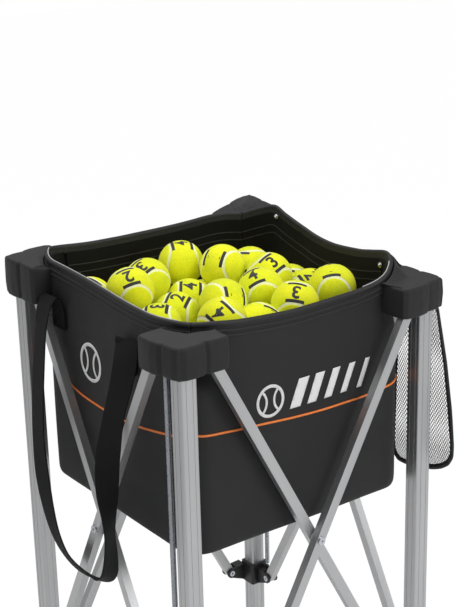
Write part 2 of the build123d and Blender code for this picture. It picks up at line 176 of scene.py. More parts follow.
def addNode(tree, kind, inputs=None, **settings):
    node = tree.nodes.new(kind)
    for key, value in settings.items():
        setattr(node, key, value)
    for key, value in (inputs or {}).items():
        node.inputs[key].default_value = value
    return node


# coordinates of the piece, or of its cloth map, turned and stretched
def coordinates(tree, source="Object", turn=(0, 0, 0), stretch=(1, 1, 1)):
    where = addNode(tree, "ShaderNodeTexCoord")
    mapping = addNode(tree, "ShaderNodeMapping", {"Rotation": turn, "Scale": stretch}, vector_type="TEXTURE")
    tree.links.new(where.outputs[source], mapping.inputs["Vector"])
    return mapping.outputs["Vector"]


def noiseOn(tree, vector, scale, detail=2.0, roughness=0.5):
    texture = addNode(tree, "ShaderNodeTexNoise", {"Scale": scale, "Detail": detail, "Roughness": roughness})
    tree.links.new(vector, texture.inputs["Vector"])
    return texture.outputs["Fac"]


def wavesOn(tree, vector, scale, direction, distortion=0.0, profile="SIN"):
    texture = addNode(tree, "ShaderNodeTexWave", {"Scale": scale, "Distortion": distortion, "Detail": 0},
                      bands_direction=direction, wave_profile=profile)
    tree.links.new(vector, texture.inputs["Vector"])
    return texture.outputs["Fac"]


def combined(tree, operation, first, second=0.0):
    node = addNode(tree, "ShaderNodeMath", operation=operation)
    for index, value in enumerate((first, second)):
        if isinstance(value, (int, float)):
            node.inputs[index].default_value = value
        else:
            tree.links.new(value, node.inputs[index])
    return node.outputs[0]


def ranged(tree, value, low, high, fromLow=0.3, fromHigh=0.7):
    node = addNode(tree, "ShaderNodeMapRange", {"From Min": fromLow, "From Max": fromHigh, "To Min": low,
                                                "To Max": high})
    tree.links.new(value, node.inputs["Value"])
    return node.outputs["Result"]


def tinted(tree, share, first, second):
    node = addNode(tree, "ShaderNodeMix", data_type="RGBA")
    node.inputs["A"].default_value = (*first, 1)
    node.inputs["B"].default_value = (*second, 1)
    tree.links.new(share, node.inputs["Factor"])
    return node.outputs["Result"]


def bumpFrom(tree, shader, height, strength, distance):
    node = addNode(tree, "ShaderNodeBump", {"Strength": strength, "Distance": distance})
    tree.links.new(height, node.inputs["Height"])
    tree.links.new(node.outputs["Normal"], shader.inputs["Normal"])


# anodised tube: fine die lines along the tube and a slow change of tone
def anodisedAluminium(name, turn):
    look = {"tone": (0.50, 0.505, 0.515), "paler": (0.60, 0.605, 0.61), "roughness": 0.45}
    finish, tree, shader = newFinish(name, look["tone"], look["roughness"], 1.0)
    lines = noiseOn(tree, coordinates(tree, turn=turn, stretch=(1, 1, 90)), 1500, 2)
    slow = noiseOn(tree, coordinates(tree, turn=turn, stretch=(1, 1, 12)), 40, 2)
    both = combined(tree, "ADD", combined(tree, "MULTIPLY", lines, 0.5),
                    combined(tree, "MULTIPLY", slow, 0.5))
    tree.links.new(tinted(tree, ranged(tree, both, 0, 1), look["tone"], look["paler"]),
                   shader.inputs["Base Color"])
    tree.links.new(ranged(tree, lines, 0.40, 0.52), shader.inputs["Roughness"])
    bumpFrom(tree, shader, lines, 0.18, 0.0002)
    return finish


def blackMoulding():
    look = {"tone": (0.009, 0.009, 0.0095), "worn": (0.020, 0.020, 0.021)}
    finish, tree, shader = newFinish("black_moulding", look["tone"], 0.45)
    grain = noiseOn(tree, coordinates(tree), 1400, 3)
    slow = noiseOn(tree, coordinates(tree), 60, 3)
    tree.links.new(tinted(tree, ranged(tree, slow, 0, 1), look["tone"], look["worn"]),
                   shader.inputs["Base Color"])
    tree.links.new(ranged(tree, slow, 0.36, 0.52), shader.inputs["Roughness"])
    bumpFrom(tree, shader, grain, 0.25, 0.0003)
    return finish


def zincPlate():
    look = {"tone": (0.54, 0.57, 0.61), "cloud": (0.62, 0.64, 0.67)}
    finish, tree, shader = newFinish("zinc_plate", look["tone"], 0.3, 1.0)
    cloud = noiseOn(tree, coordinates(tree), 220, 3)
    tree.links.new(tinted(tree, ranged(tree, cloud, 0, 1), look["tone"], look["cloud"]),
                   shader.inputs["Base Color"])
    tree.links.new(ranged(tree, cloud, 0.22, 0.4), shader.inputs["Roughness"])
    bumpFrom(tree, shader, noiseOn(tree, coordinates(tree), 1800, 2), 0.15, 0.0002)
    return finish


# coated canvas: warp and weft threads, slow patches of tone and a soft sheen
def wovenCanvas(name, tone, patch, threadsPerMetre=900.0, shine=0.38):
    finish, tree, shader = newFinish(name, tone, 0.62)
    spot = coordinates(tree)
    split = addNode(tree, "ShaderNodeSeparateXYZ")
    tree.links.new(spot, split.inputs[0])
    level = combined(tree, "SINE", combined(tree, "MULTIPLY", split.outputs["Z"], threadsPerMetre * 2 * pi))
    flat = combined(tree, "ADD", split.outputs["X"], split.outputs["Y"])
    upright = combined(tree, "SINE", combined(tree, "MULTIPLY", flat, threadsPerMetre * 2 * pi))
    weave = combined(tree, "MULTIPLY", level, upright)
    slubs = noiseOn(tree, spot, 700, 3)
    height = combined(tree, "ADD", combined(tree, "MULTIPLY", weave, 0.5), slubs)
    slow = noiseOn(tree, spot, 9, 4, 0.6)
    fine = combined(tree, "ADD", combined(tree, "MULTIPLY", slow, 0.75),
                    combined(tree, "MULTIPLY", slubs, 0.25))
    tree.links.new(tinted(tree, ranged(tree, fine, 0, 1), tone, patch), shader.inputs["Base Color"])
    tree.links.new(ranged(tree, slow, 0.5, 0.7), shader.inputs["Roughness"])
    shader.inputs["Specular IOR Level"].default_value = shine
    shader.inputs["Sheen Weight"].default_value = 0.05
    shader.inputs["Sheen Roughness"].default_value = 0.5
    bumpFrom(tree, shader, height, 0.45, 0.0005)
    return finish


# strap webbing: a herringbone across its width, from its cloth map, which is in metres
def strapWebbing(name, tone, patch):
    finish, tree, shader = newFinish(name, tone, 0.7)
    spot = coordinates(tree, "UV")
    split = addNode(tree, "ShaderNodeSeparateXYZ")
    tree.links.new(spot, split.inputs[0])
    bend = combined(tree, "PINGPONG", split.outputs["X"], 0.0032)
    slant = combined(tree, "ADD", combined(tree, "MULTIPLY", split.outputs["Y"], 1.0),
                     combined(tree, "MULTIPLY", bend, 1.1))
    bones = combined(tree, "SINE", combined(tree, "MULTIPLY", slant, 3400))
    grain = noiseOn(tree, coordinates(tree), 900, 2)
    height = combined(tree, "ADD", combined(tree, "MULTIPLY", bones, 0.6), grain)
    tree.links.new(tinted(tree, ranged(tree, height, 0, 1, 0.0, 1.2), tone, patch),
                   shader.inputs["Base Color"])
    shader.inputs["Specular IOR Level"].default_value = 0.22
    bumpFrom(tree, shader, height, 0.7, 0.0006)
    return finish


def threadFinish(name, tone, patch, roughness, pitch):
    finish, tree, shader = newFinish(name, tone, roughness)
    twist = wavesOn(tree, coordinates(tree, "UV"), pitch, "DIAGONAL")
    slow = noiseOn(tree, coordinates(tree), 120, 2)
    both = combined(tree, "ADD", combined(tree, "MULTIPLY", twist, 0.4),
                    combined(tree, "MULTIPLY", slow, 0.6))
    tree.links.new(tinted(tree, ranged(tree, both, 0, 1), tone, patch), shader.inputs["Base Color"])
    bumpFrom(tree, shader, twist, 0.4, 0.0004)
    return finish


# ball felt: short fibres, slow patches of yellow and green, and a smooth pale seam
def ballFelt():
    look = {"shade": (0.62, 0.72, 0.006), "lit": (0.95, 0.92, 0.010), "seam": (0.88, 0.90, 0.55)}
    finish, tree, shader = newFinish("ball_felt", look["lit"], 0.9)
    spot = coordinates(tree)
    fibres = noiseOn(tree, spot, 1300, 4, 0.7)
    tufts = noiseOn(tree, spot, 320, 3, 0.6)
    slow = noiseOn(tree, spot, 22, 2)
    share = combined(tree, "ADD", combined(tree, "MULTIPLY", slow, 0.55),
                     combined(tree, "MULTIPLY", tufts, 0.45))
    felt = tinted(tree, ranged(tree, share, 0, 1), look["shade"], look["lit"])
    seamAway = addNode(tree, "ShaderNodeAttribute", attribute_name="seamAway")
    onSeam = ranged(tree, seamAway.outputs["Fac"], 1, 0, 0.0016, 0.0024)
    mix = addNode(tree, "ShaderNodeMix", data_type="RGBA")
    mix.inputs["B"].default_value = (*look["seam"], 1)
    tree.links.new(felt, mix.inputs["A"])
    tree.links.new(onSeam, mix.inputs["Factor"])
    tree.links.new(mix.outputs["Result"], shader.inputs["Base Color"])
    sink = ranged(tree, seamAway.outputs["Fac"], -1.2, 0, 0.0014, 0.0034)
    nap = combined(tree, "ADD", combined(tree, "MULTIPLY", fibres, 0.6),
                   combined(tree, "MULTIPLY", tufts, 0.7))
    bumpFrom(tree, shader, combined(tree, "ADD", nap, sink), 0.6, 0.0009)
    shader.inputs["Sheen Weight"].default_value = 0.35
    shader.inputs["Sheen Roughness"].default_value = 0.4
    shader.inputs["Sheen Tint"].default_value = (0.95, 1.0, 0.3, 1)
    return finish


def plainInk(name, tone, roughness):
    finish, tree, shader = newFinish(name, tone, roughness)
    wear = noiseOn(tree, coordinates(tree), 500, 3)
    lighter = tuple(min(1.0, channel * 0.9 + 0.02) for channel in tone)
    tree.links.new(tinted(tree, ranged(tree, wear, 0, 1), tone, lighter), shader.inputs["Base Color"])
    bumpFrom(tree, shader, wear, 0.15, 0.0002)
    return finish


# a castor wheel: grey rubber tyre outside the hub's radius, about the wheel's own axle
def castorRubber(name, middle, alongX):
    look = {"tyre": (0.06, 0.06, 0.062), "hub": (0.018, 0.018, 0.019), "hubRadius": 0.0228}
    finish, tree, shader = newFinish(name, look["tyre"], 0.6)
    where = addNode(tree, "ShaderNodeTexCoord")
    across = (0, 1, 1) if alongX else (1, 0, 1)
    offset = [-a * b for a, b in zip(middle, across)]
    mapping = addNode(tree, "ShaderNodeMapping", {"Location": offset, "Scale": across})
    tree.links.new(where.outputs["Object"], mapping.inputs["Vector"])
    length = addNode(tree, "ShaderNodeVectorMath", operation="LENGTH")
    tree.links.new(mapping.outputs["Vector"], length.inputs[0])
    edge = look["hubRadius"]
    share = ranged(tree, length.outputs["Value"], 0, 1, edge, edge + 0.0003)
    tree.links.new(tinted(tree, share, look["hub"], look["tyre"]), shader.inputs["Base Color"])
    scuffs = noiseOn(tree, coordinates(tree), 500, 3)
    tree.links.new(ranged(tree, scuffs, 0.45, 0.75), shader.inputs["Roughness"])
    bumpFrom(tree, shader, scuffs, 0.3, 0.0004)
    return finish


uprightMetal = anodisedAluminium("aluminium_upright", (0, 0, 0))
barLean = 61.8                                   # degrees from level, as the bars stand at rest
leans = {"front_inner": (0, radians(90 + barLean), 0), "front_outer": (0, radians(90 - barLean), 0),
         "rear_inner": (0, radians(90 - barLean), 0), "rear_outer": (0, radians(90 + barLean), 0),
         "right_inner": (radians(-90 - barLean), 0, 0), "right_outer": (radians(-90 + barLean), 0, 0),
         "left_inner": (radians(-90 + barLean), 0, 0), "left_outer": (radians(-90 - barLean), 0, 0)}
moulding = blackMoulding()
zinc = zincPlate()
canvas = wovenCanvas("bag_canvas", (0.0068, 0.0069, 0.0071), (0.0125, 0.0125, 0.0128))
sleeveCanvas = wovenCanvas("sleeve_canvas", (0.0066, 0.0067, 0.007), (0.014, 0.0141, 0.0145), 700)
lining = wovenCanvas("bag_lining", (0.0032, 0.0031, 0.0034), (0.007, 0.0068, 0.0073), shine=0.1)
webbing = strapWebbing("strap_webbing", (0.0025, 0.0025, 0.0026), (0.013, 0.013, 0.0134))
binding = threadFinish("binding_tape", (0.005, 0.005, 0.0052), (0.012, 0.012, 0.0123), 0.55, 300)
piping = threadFinish("orange_cord", (0.80, 0.15, 0.015), (0.95, 0.28, 0.05), 0.45, 260)
netThread = threadFinish("net_thread", (0.006, 0.006, 0.006), (0.016, 0.016, 0.016), 0.6, 500)
felt = ballFelt()
ballInk = plainInk("ball_ink", (0.008, 0.008, 0.008), 0.6)
whitePrint = plainInk("white_print", (0.86, 0.86, 0.86), 0.5)
zipThread = plainInk("zip_thread", (0.42, 0.42, 0.43), 0.5)

for name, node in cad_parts.items():
    finish = moulding
    if name.startswith("leg_") and not name.startswith("leg_plug"):
        finish = uprightMetal
    elif name.startswith("bar_"):
        finish = anodisedAluminium("aluminium_" + name, leans[name[4:]])
    elif name.startswith(("bracket_rivets", "slider_rivets", "pivot_bolt")):
        finish = zinc
    elif name.startswith("castor_wheel"):
        low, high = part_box(name)
        finish = castorRubber("rubber_" + name, list((low + high) / 2), high.x - low.x < high.y - low.y)
    node.data.materials.clear()
    node.data.materials.append(finish)
print("finishes on", len(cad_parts), "frame nodes")


# bag
bag = {
    "wall": 2.4,
    "lowCorner": 36,                         # radius of the plan's corners low down, and at the rim below
    "rimCorners": [90, 58, 90, 52],          # front left, front right, rear right, rear left
    "flare": [0, 2, 0, 5],                   # how far each of those leans out at the rim
    "shoulder": (862, 915),                  # where one turns into the other
    "bulge": 4.0,
    "inside": 655,                           # how far down the lining is seen
    "bands": (0.04, 0.62, 0.64),             # ends of the turn under the base, the outside and the rim
    # height of the rim above the sleeves' hem, from one corner of a side to the next
    "rim": [
        [(-1, 48), (-0.8, 49), (-0.5, 45.5), (-0.2, 42.5), (0, 41.5), (0.35, 43), (0.65, 46), (0.85, 54),
         (1, 66)],
        [(-1, 66), (-0.85, 72), (-0.65, 66), (-0.5, 61), (-0.2, 57), (0, 59), (0.2, 66), (0.5, 79),
         (0.64, 87), (0.8, 80), (1, 69)],
        [(-1, 69), (-0.8, 69), (-0.5, 65.5), (0, 64.5), (0.5, 65.5), (0.8, 69), (1, 74)],
        [(-1, 74), (-0.8, 66), (-0.5, 61.5), (0, 56.5), (0.4, 52.5), (0.8, 50), (1, 48)],
    ],
    # the orange piping, the same way, below the hem line
    "piping": [
        [(-1, -96), (-0.8, -99), (-0.5, -103), (0, -110), (0.5, -112), (0.8, -109), (1, -105)],
        [(-1, -105), (-0.5, -111), (0, -112), (0.5, -108), (1, -90)],
        [(-1, -90), (-0.5, -106), (0, -112), (0.5, -106), (1, -86)],
        [(-1, -86), (-0.65, -103), (-0.5, -113), (0, -119), (0.5, -112), (1, -96)],
    ],
}


def planOf(share, radius, half):
    way = 1 if share > 0 else -1
    total = half - (1 - pi / 4) * radius
    distance = abs(share) * total
    straight = half - radius
    if distance <= straight:
        return distance * way, half, 0.0
    angle = (distance - straight) / radius
    across = straight + radius * sin(angle)
    return across * way, half - radius + radius * cos(angle), angle * way


# a point of the bag's outside: share runs from -1 to 1 between two corners, grow is outwards
def onBag(side, share, z, grow=0.0):
    low, high = bag["shoulder"]
    part = eased((z - low) / (high - low))
    near = (side + (1 if share > 0 else 0)) % 4
    corner = bag["lowCorner"] + (bag["rimCorners"][near] - bag["lowCorner"]) * part
    across, out, angle = planOf(share, corner, bagHalf)
    lean = bag["flare"][near] * eased((abs(share) - 0.55) / 0.45) * eased((z - 850) / 110)
    across += lean * (1 if share > 0 else -1)
    out += lean
    flatness = max(0.0, 1 - share * share)
    rise = min(max((z - bagFloor) / 330, 0.0), 1.0)
    swell = bag["bulge"] * flatness * sin(pi * rise) ** 0.7
    ripple = noise.noise(Vector((share * 1.7 + side * 7, z / 120, side * 3.1))) * 2.2 * flatness
    sag = noise.noise(Vector((share * 5 + side * 5, z / 45, 4.2))) * 0.8 * flatness * eased(rise * 4)
    out += swell + ripple + sag
    return turned((across + grow * sin(angle), -(out + grow * cos(angle)), z), side)


def rimHeight(side, share):
    return hemZ + through(bag["rim"][side % 4], share)


def bagPanel(side):
    turnIn, outside, overRim = bag["bands"]

    def place(across, up):
        share = 2 * across - 1
        top = rimHeight(side, share)
        if up < turnIn:
            return onBag(side, share, bagFloor + 0.6, -9 * (1 - up / turnIn))
        if up < outside:
            part = (up - turnIn) / (outside - turnIn)
            return onBag(side, share, bagFloor + 1.5 + (top - bagFloor - 1.5) * part, 0)
        if up < overRim:
            return onBag(side, share, top + 1, -3.4)
        part = (up - overRim) / (1 - overRim)
        return onBag(side, share, top - (top - bag["inside"]) * part, -4.4)

    made = mappedGrid(56, 60, place, (0.37, 0.62))
    clothMap = made.loops.layers.uv["cloth"]
    for face in made.faces:
        if min(loop[clothMap].uv.y for loop in face.loops) > 0.395:
            face.material_index = 1
    piece = finishPiece("bag_" + sides[side], made, canvas, thickness=-1.2, levels=1)
    piece.data.materials.append(lining)
    return piece


def bagTube(name, side, heightOf, grow, halfTall, halfDeep, material, low=-1.0, high=1.0, steps=90):
    def centre(along):
        share = low + (high - low) * along
        z = heightOf(share)
        middle = onBag(side, share, z, grow)
        ahead = onBag(side, min(share + 0.01, 1), heightOf(min(share + 0.01, 1)), grow)
        behind = onBag(side, max(share - 0.01, -1), heightOf(max(share - 0.01, -1)), grow)
        way = (ahead - behind).normalized()
        flat = Vector((way.x, way.y, 0)).normalized()
        outward = Vector((flat.y, -flat.x, 0))
        upward = outward.cross(way).normalized()
        if upward.z < 0:
            upward = -upward
        return middle, outward * halfDeep, upward * halfTall

    made = mappedTube(steps, 10, centre, (0.36, 0.01))
    piece = finishPiece(name, made, material)
    foldsWithSide(piece, side)
    return piece


for side in range(4):
    name = sides[side]
    panel = bagPanel(side)
    foldsWithSide(panel, side)
    if side == 0:
        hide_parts("bag_shell")

    def rimAt(share, side=side):
        return rimHeight(side, share) - 2.6

    rim = bagTube("rim_" + name, side, rimAt, -1.4, 4.4, 3.4, binding)
    if side == 0:
        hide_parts("rim_binding")
    if side != 1:                            # zip tapes below the rim
        for count, drop in enumerate((11.0, 18.0)):
            tape = bagTube(f"rim_cord_{name}_{count + 1}", side, lambda share, side=side, drop=drop:
                           rimHeight(side, share) - drop, 0.9, 1.7, 1.4, binding)
    if side in (0, 3):
        low, high = (0.62, 1.0) if side == 0 else (-1.0, 0.9)
        inner = bagTube("rim_zip_" + name, side, lambda share, side=side: rimHeight(side, share) + 1.2,
                        -3.6, 0.9, 0.9, zipThread, low, high)
    for count, drop in enumerate((30.0, 42.0)):
        seam = bagTube(f"lining_seam_{name}_{count + 1}", side, lambda share, side=side, drop=drop:
                       rimHeight(side, share) - drop, -5.0, 1.2, 1.1, binding)
    cord = bagTube("piping_" + name, side, lambda share, side=side: hemZ
                   + through(bag["piping"][side], share), 1.0, 1.7, 1.7, piping)
    if side == 0:
        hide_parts("orange_piping")
print("bag walls, rim and piping made")

# base of the bag in tiles
base = {"tiles": 4, "thickness": 2.5, "lift": 1.0, "dip": 3.0}
tileSize = 2 * (bagHalf - 2) / base["tiles"]
for row in range(base["tiles"]):
    for column in range(base["tiles"]):
        x0 = -bagHalf + 2 + column * tileSize
        y0 = -bagHalf + 2 + row * tileSize

        def place(across, up, x0=x0, y0=y0):
            x, y = x0 + across * tileSize, y0 + up * tileSize
            edge = min(bagHalf - abs(x), bagHalf - abs(y)) / 40
            arc = bagHalf - 2 - bag["lowCorner"]
            past = Vector((max(abs(x) - arc, 0), max(abs(y) - arc, 0)))
            if past.x and past.y:
                pull = max(past) / past.length
                x = (arc + past.x * pull) * (1 if x > 0 else -1)
                y = (arc + past.y * pull) * (1 if y > 0 else -1)
            top = bagFloor + base["lift"] + base["thickness"]
            return Vector((x, y, top + base["dip"] * (1 - eased(edge))))

        tile = finishPiece(f"bag_base_{row + 1}_{column + 1}", mappedGrid(12, 12, place, (0.1, 0.1)), canvas,
                           thickness=base["thickness"])
        gathersFrom(tile, x0 + tileSize / 2, y0 + tileSize / 2)
        if row == 0 and column == 0:
            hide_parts("base_board")
print("bag base made")


# corner sleeves
sleeve = {
    "top": [46, 45.5, 77, 62], "bottom": [1, 1, 2, 5], "wall": 2.0,
    "peak": [0, 0, 20, 0],                   # how far the wings' ends lie below the corner
    "inside": [-15, -4, -4, -9],             # where the top meets the bag, from its rim
    "bands": (0.36, 0.46, 0.9),              # ends of the top, its outer edge and the side
    "rise": 0.34,                            # share of the top in which it climbs from the rim
    # outer edge in plan from the leg's axis, round from the front wing to the left one, with the share
    # of the way round the bag's rim that each point is drawn to
    "plan": [(60, 21, 0), (60, 2, 0.01), (58.5, -17, 0.04), (54, -21, 0.08), (40, -22, 0.18),
             (27, -21.5, 0.27),
             (22, -19, 0.31), (18, -22.5, 0.34), (4, -24.5, 0.41), (-10, -24, 0.46), (-18, -20.5, 0.485),
             (-20.6, -20.6, 0.5), (-20.5, -18, 0.515), (-24, -10, 0.54), (-25.5, 4, 0.59), (-25, 9, 0.62),
             (-28.6, 14, 0.66), (-31.5, 26, 0.73), (-31.8, 40, 0.82), (-31, 52, 0.91), (-27, 58, 0.95),
             (-10, 60.5, 0.98), (21, 60, 1)],
}


def sleevePlan(where):
    stops = sleeve["plan"]
    spot = where * (len(stops) - 1)
    index = min(int(spot), len(stops) - 2)
    part = spot - index
    first, second = stops[index], stops[index + 1]
    return [a + (b - a) * part for a, b in zip(first, second)]


def rimNear(corner, angle):
    radius = bag["rimCorners"][corner]
    total = bagHalf - (1 - pi / 4) * radius
    if angle >= pi / 4:
        share = -(bagHalf - radius + radius * (pi / 2 - angle)) / total
        return rimHeight(corner, share)
    share = (bagHalf - radius + radius * angle) / total
    return rimHeight(corner + 3, share)


def makeSleeve(corner):
    top = hemZ + sleeve["top"][corner]
    bottom = hemZ + sleeve["bottom"][corner]
    centre = legAt - (bagHalf + bag["flare"][corner] - bag["rimCorners"][corner])
    radius = bag["rimCorners"][corner] + 3.2
    spread = radians(34) if radius > 80 else radians(80)
    topEnd, edgeEnd, sideEnd = sleeve["bands"]

    def place(across, up):
        x, y, share = sleevePlan(across)
        angle = pi / 4 + spread * (0.5 - share)
        inner = Vector((centre - radius * cos(angle), centre - radius * sin(angle), 0))
        inner.z = rimNear(corner, angle) + sleeve["inside"][corner]
        if x >= centre:
            y = min(y, centre - radius)
        elif y >= centre:
            x = min(x, centre - radius)
        outer = Vector((x, y, 0))
        inward = (Vector((8, 8, 0)) - outer).normalized()
        away = eased((hypot(x - inner.x, y - inner.y) - 2) / 26)
        crest = top - sleeve["peak"][corner] * abs(2 * share - 1)
        edgeZ = inner.z + (crest - inner.z) * away
        if up < topEnd:
            part = up / topEnd
            edge = outer + inward * 4
            spot = inner.lerp(edge, part)
            spot.z = inner.z + (edgeZ - inner.z) * eased(part / sleeve["rise"])
        elif up < edgeEnd:
            part = (up - topEnd) / (edgeEnd - topEnd)
            spot = outer + inward * 4 * (1 - part)
            spot.z = edgeZ - 3.0 * part * part
        elif up < sideEnd:
            part = (up - edgeEnd) / (sideEnd - edgeEnd)
            puff = 0.9 * sin(pi * part) + 0.5 * noise.noise(Vector((x / 14, y / 14, part * 3 + corner)))
            spot = outer - inward * puff
            spot.z = edgeZ - 3 + (bottom + 3 - edgeZ + 3) * part
        else:
            part = (up - sideEnd) / (1 - sideEnd)
            spot = outer + inward * (7 * part)
            spot.z = bottom + 3 - 3 * sin(pi * min(part * 1.3, 1)) + 3 * part
        return turned((spot.x - legAt, spot.y - legAt, spot.z), corner)

    made = mappedGrid(110, 40, place, (0.2, 0.12))
    bmesh.ops.reverse_faces(made, faces=made.faces)
    piece = finishPiece("sleeve_" + corners[corner], made, sleeveCanvas,
                        thickness=-sleeve["wall"] * 0.5, levels=1)
    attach(piece, cornerBodies[corner])
    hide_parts("corner_sleeve_" + corners[corner])
    return piece


for corner in range(4):
    cap = makeSleeve(corner)
print("corner sleeves made")


# balls
balls = {
    "radius": 33.4, "pitch": 70,
    "layers": 5, "across": 5,                # the balls below, with one row less in every other layer
    "offFloor": 7, "offWall": 5,             # kept clear of the base board and the bag's side
    "tries": 90,                             # rounds of pushing the loose balls apart
    # loose top balls: x, y and the height of the centre above the hem
    "top": [(-149, 107, 8), (-138, 17, 42), (-76, 70, 30), (1, 97, 35), (34, 39, 36), (106, 68, 12),
            (79, -14, 27), (25, -65, 28), (124, -102, 22), (134, -40, -2), (33, -131, 24), (-29, 35, -2),
            (-41, -67, 26), (-89, -22, 6), (-145, -62, 12), (-88, -129, 26), (-27, -129, 5), (149, 26, -14)],
    "seed": 11,
}
ballSeam = []
for step in range(240):
    turn = 2 * pi * step / 240
    ballSeam.append(Vector((0.75 * cos(turn) + 0.25 * cos(3 * turn), 0.75 * sin(turn) - 0.25 * sin(3 * turn),
                            sqrt(0.75) * sin(2 * turn))) * balls["radius"] * mm)


# one ball with the distance from its seam kept at each point
def ballMesh(name, divisions):
    made = bmesh.new()
    bmesh.ops.create_icosphere(made, subdivisions=divisions, radius=balls["radius"] * mm)
    away = made.verts.layers.float.new("seamAway")
    for vert in made.verts:
        vert[away] = min((vert.co - spot).length for spot in ballSeam)
    data = bpy.data.meshes.new(name)
    made.to_mesh(data)
    made.free()
    for polygon in data.polygons:
        polygon.use_smooth = True
    data.materials.append(felt)
    return data


# a printed number and two bars, wrapped on the ball where it faces up
def ballPrint(digit):
    text = bpy.data.curves.new("digit", "FONT")
    text.body = str(digit)
    text.size = 0.027
    text.offset = 0.0007
    text.align_x = "CENTER"
    text.align_y = "CENTER"
    holder = bpy.data.objects.new("digit", text)
    bpy.context.scene.collection.objects.link(holder)
    bpy.context.view_layer.update()
    data = bpy.data.meshes.new_from_object(holder)
    bpy.data.objects.remove(holder)
    made = bmesh.new()
    made.from_mesh(data)
    for height in (-0.0145, 0.0145):
        found = bmesh.ops.create_grid(made, x_segments=12, y_segments=1, size=1)
        bmesh.ops.scale(made, vec=(0.0135, 0.0023, 1), verts=found["verts"])
        bmesh.ops.translate(made, vec=(0, height, 0), verts=found["verts"])
    for step in range(-6, 7):
        cut = Vector((step * 0.002, 0, 0))
        whole = made.verts[:] + made.edges[:] + made.faces[:]
        bmesh.ops.bisect_plane(made, geom=whole, plane_co=cut, plane_no=(1, 0, 0))
    bmesh.ops.triangulate(made, faces=made.faces)
    radius = (balls["radius"] + 0.12) * mm
    for vert in made.verts:
        flat = vert.co
        arc = flat.length / radius
        if arc > 1e-6:
            way = Vector((flat.x, flat.y, 0)).normalized()
            vert.co = (way * sin(arc) + Vector((0, 0, cos(arc)))) * radius
        else:
            vert.co = Vector((0, 0, radius))
    bmesh.ops.rotate(made, cent=(0, 0, 0), matrix=Matrix.Rotation(-pi / 4, 3, "Z"), verts=made.verts)
    bmesh.ops.recalc_face_normals(made, faces=made.faces)
    for face in made.faces:
        if face.normal.dot(face.calc_center_median()) < 0:
            face.normal_flip()
    data = bpy.data.meshes.new(f"print{digit}")
    made.to_mesh(data)
    made.free()
    data.materials.append(ballInk)
    return data


def putBall(name, template, place, turn):
    data = template.copy()
    data.transform(Matrix.Translation(Vector(place) * mm) @ turn.to_matrix().to_4x4())
    piece = bpy.data.objects.new(name, data)
    bpy.context.scene.collection.objects.link(piece)
    return piece


# the loose balls are pushed apart and kept inside the bag until they rest on those below
def settledBalls():
    radius = balls["radius"]
    rise = sqrt(4 * radius**2 - balls["pitch"]**2 / 2)
    bottom = bagFloor + balls["offFloor"] + radius
    lower = []
    for layer in range(balls["layers"]):
        count = balls["across"] - layer % 2
        edge = (count - 1) / 2 * balls["pitch"]
        for row in range(count):
            for column in range(count):
                lower.append([layer, Vector((-edge + column * balls["pitch"], -edge + row * balls["pitch"],
                                             bottom + layer * rise))])
    upper = [Vector((x, y, hemZ + z)) for x, y, z in balls["top"]]
    loose = [spot for layer, spot in lower if layer >= 4]
    fixed = [spot for layer, spot in lower if layer == 3]
    reach = bagHalf - balls["offWall"] - radius
    for attempt in range(balls["tries"]):
        for spot in loose:
            for other in upper + fixed + loose:
                gap = spot - other
                if other is spot or gap.length > 2 * radius or gap.length < 1e-6:
                    continue
                push = gap.normalized() * (2 * radius - gap.length) * 0.5
                push.z = min(push.z, 0) if other in upper else push.z
                spot += push
            spot.x = min(max(spot.x, -reach), reach)
            spot.y = min(max(spot.y, -reach), reach)
            spot.z = max(spot.z, bottom)
    return upper, [spot for layer, spot in lower]


fineBall = ballMesh("fine_ball", 5)
plainBall = ballMesh("plain_ball", 3)
prints = [ballPrint(digit) for digit in (1, 2, 3, 4)]
draw = Random(balls["seed"])
upperBalls, lowerBalls = settledBalls()
for index, spot in enumerate(upperBalls):
    lean = draw.uniform(-0.7, 0.7)
    axis = (0.82 * cos(lean) + 0.57 * sin(lean), -0.57 * cos(lean) + 0.82 * sin(lean), 0)
    turn = Quaternion(axis, draw.uniform(0.1, 1.0)) @ Quaternion((0, 0, 1), draw.uniform(0, 2 * pi))
    ball = putBall(f"ball_{index + 1:02d}", fineBall, spot, turn)
    gathersFrom(ball, spot.x, spot.y)
    mark = putBall(f"ball_print_{index + 1:02d}", prints[index % 4], spot, turn)
    gathersFrom(mark, spot.x, spot.y)
    if index == 0:
        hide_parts("tennis_balls")
for index, spot in enumerate(lowerBalls):
    turn = Euler((draw.uniform(0, 2 * pi), draw.uniform(0, 2 * pi), draw.uniform(0, 2 * pi)))
    template = fineBall if index >= len(lowerBalls) - 25 else plainBall
    ball = putBall(f"lower_ball_{index + 1:03d}", template, spot, turn)
    gathersFrom(ball, spot.x, spot.y)
print("balls:", len(upperBalls) + len(lowerBalls))


